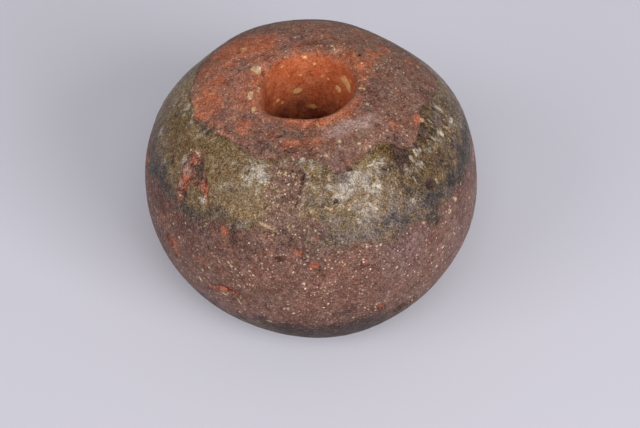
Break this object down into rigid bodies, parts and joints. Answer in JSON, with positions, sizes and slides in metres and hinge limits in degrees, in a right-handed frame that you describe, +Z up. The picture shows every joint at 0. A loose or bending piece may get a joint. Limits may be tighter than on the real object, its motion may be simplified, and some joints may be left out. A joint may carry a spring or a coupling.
{
  "type": "pottery net sinker",
  "caption": "Thick ball of fired clay, flattened above and below, with one straight rope hole through it; it weighs down a fishing net.",
  "frame": {"origin": "on the plane that the sinker stands on, under the middle of its outline", "axes": "+Z up along the rope hole, -Y toward the side with the gouge and the worn front, +X to the right as seen from there"},
  "size_m": [0.1002, 0.1, 0.0746],
  "materials": {
    "fired_clay": "brown coarse stoneware, matt on the lower half and the top, with a thin olive ash glaze around the upper half"
  },
  "bodies": {
    "root": {"sinker_body": "fired_clay"}
  },
  "joints": []
}
